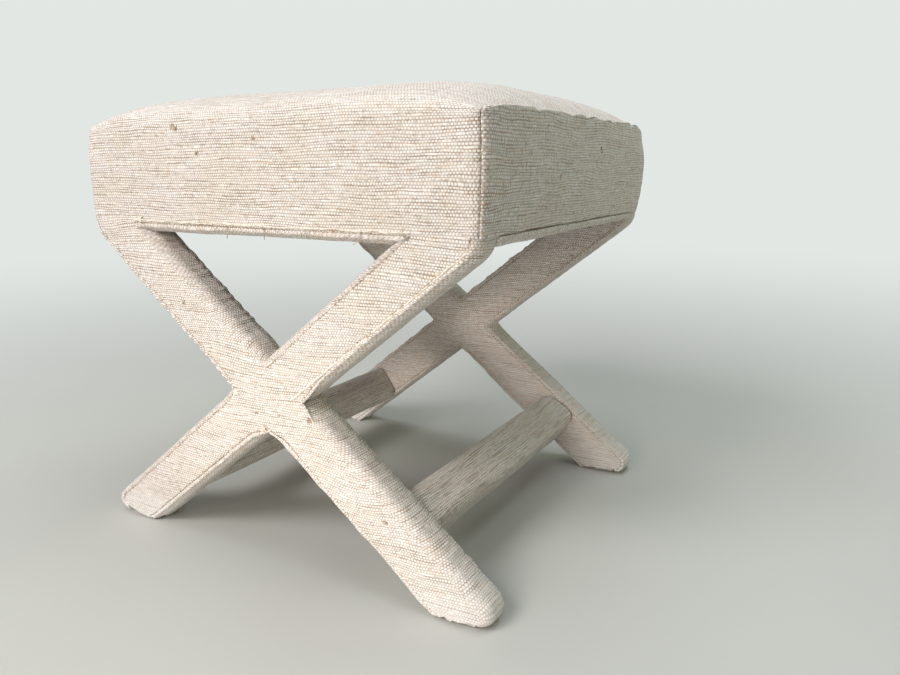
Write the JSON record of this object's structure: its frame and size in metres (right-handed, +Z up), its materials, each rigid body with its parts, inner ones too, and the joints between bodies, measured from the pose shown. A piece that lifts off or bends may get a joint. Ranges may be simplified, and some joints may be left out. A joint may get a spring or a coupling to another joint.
{
  "type": "x frame stool",
  "caption": "Square upholstered stool with a crowned box seat on two crossed-leg frames joined by low stretchers, all covered in ribbed hand-woven cloth.",
  "frame": {"origin": "on the floor, below the middle of the seat", "axes": "+X from left to right along the front, +Y from front to back, +Z up"},
  "size_m": [0.491, 0.4296, 0.47],
  "materials": {
    "cover_cloth": "natural slubby hand-woven ribbed cotton, matte",
    "timber": "unfinished frame timber",
    "plywood": "unfinished plywood",
    "foam": "open-cell cushion foam",
    "wadding": "soft fibre wadding",
    "dust_cover_cloth": "thin woven lining",
    "steel": "zinc-plated"
  },
  "bodies": {
    "root": {"front_rail": "timber", "rear_rail": "timber", "left_rail": "timber", "right_rail": "timber", "corner_block_front_left": "timber", "corner_block_front_right": "timber", "corner_block_rear_left": "timber", "corner_block_rear_right": "timber", "seat_board": "plywood", "front_leg_falling": "timber", "front_leg_rising": "timber", "rear_leg_falling": "timber", "rear_leg_rising": "timber", "left_stretcher": "timber", "right_stretcher": "timber", "front_crossing_screw": "steel", "rear_crossing_screw": "steel", "stretcher_bolt_front_left": "steel", "stretcher_bolt_front_right": "steel", "stretcher_bolt_rear_left": "steel", "stretcher_bolt_rear_right": "steel", "leg_dowel_front_left": "timber", "leg_dowel_front_right": "timber", "leg_dowel_rear_left": "timber", "leg_dowel_rear_right": "timber", "stretcher_dowel_front_left": "timber", "stretcher_dowel_front_right": "timber", "stretcher_dowel_rear_left": "timber", "stretcher_dowel_rear_right": "timber", "seat_foam": "foam", "seat_wadding": "wadding", "front_frame_wadding": "wadding", "rear_frame_wadding": "wadding", "left_stretcher_wadding": "wadding", "right_stretcher_wadding": "wadding", "waterfall_panel": "cover_cloth", "left_side_panel": "cover_cloth", "right_side_panel": "cover_cloth", "front_frame_outer_panel": "cover_cloth", "front_frame_inner_panel": "cover_cloth", "front_edge_band_top": "cover_cloth", "front_edge_band_bottom": "cover_cloth", "front_edge_band_left": "cover_cloth", "front_edge_band_right": "cover_cloth", "foot_sole_front_left": "cover_cloth", "foot_sole_front_right": "cover_cloth", "rear_frame_outer_panel": "cover_cloth", "rear_frame_inner_panel": "cover_cloth", "rear_edge_band_top": "cover_cloth", "rear_edge_band_bottom": "cover_cloth", "rear_edge_band_left": "cover_cloth", "rear_edge_band_right": "cover_cloth", "foot_sole_rear_left": "cover_cloth", "foot_sole_rear_right": "cover_cloth", "left_stretcher_cover": "cover_cloth", "right_stretcher_cover": "cover_cloth", "dust_cover": "dust_cover_cloth"}
  },
  "joints": []
}
